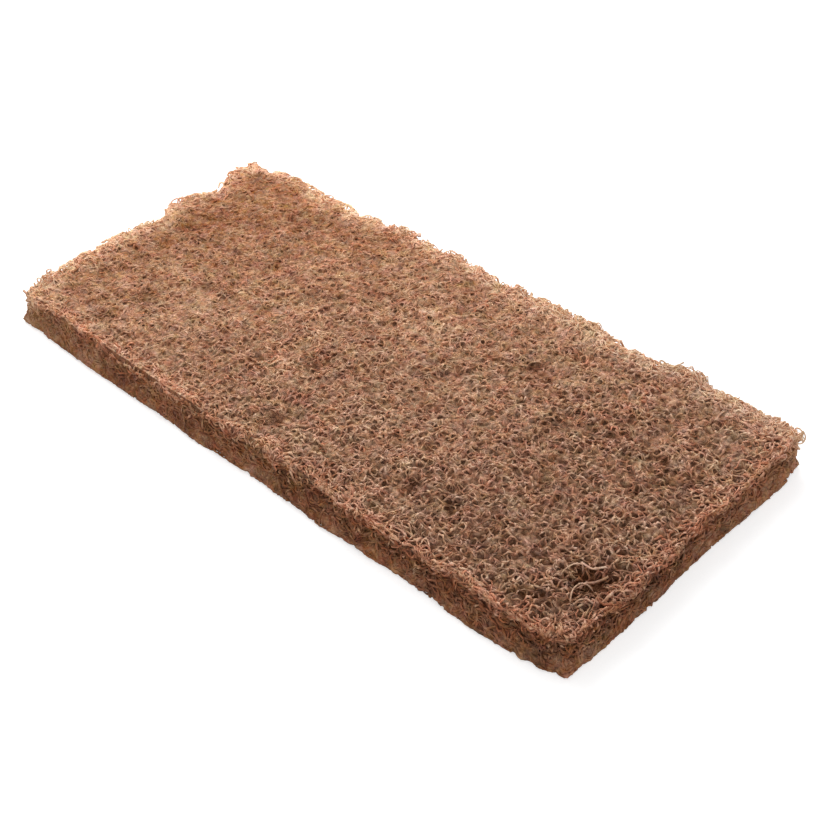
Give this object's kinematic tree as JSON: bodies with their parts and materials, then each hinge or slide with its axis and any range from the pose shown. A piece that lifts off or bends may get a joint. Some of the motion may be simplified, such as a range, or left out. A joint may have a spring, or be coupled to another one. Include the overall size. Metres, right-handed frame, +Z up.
{
  "type": "scouring pad",
  "caption": "Rectangular hand pad of coarse brown non-woven fibre, an open springy web with pitted faces and ragged cut sides, for scrubbing and scouring.",
  "frame": {"origin": "middle of the pad's outline, on the plane that its underside rests on", "axes": "+X along the pad's length, +Y across its width, +Z up through its thickness"},
  "size_m": [0.2594, 0.1218, 0.0138],
  "materials": {
    "fibre_web": "crimped brown fibres bonded in resin, dull, with paler and redder strands and dark gaps between them"
  },
  "bodies": {
    "root": {"fibre_pad": "fibre_web"}
  },
  "joints": []
}
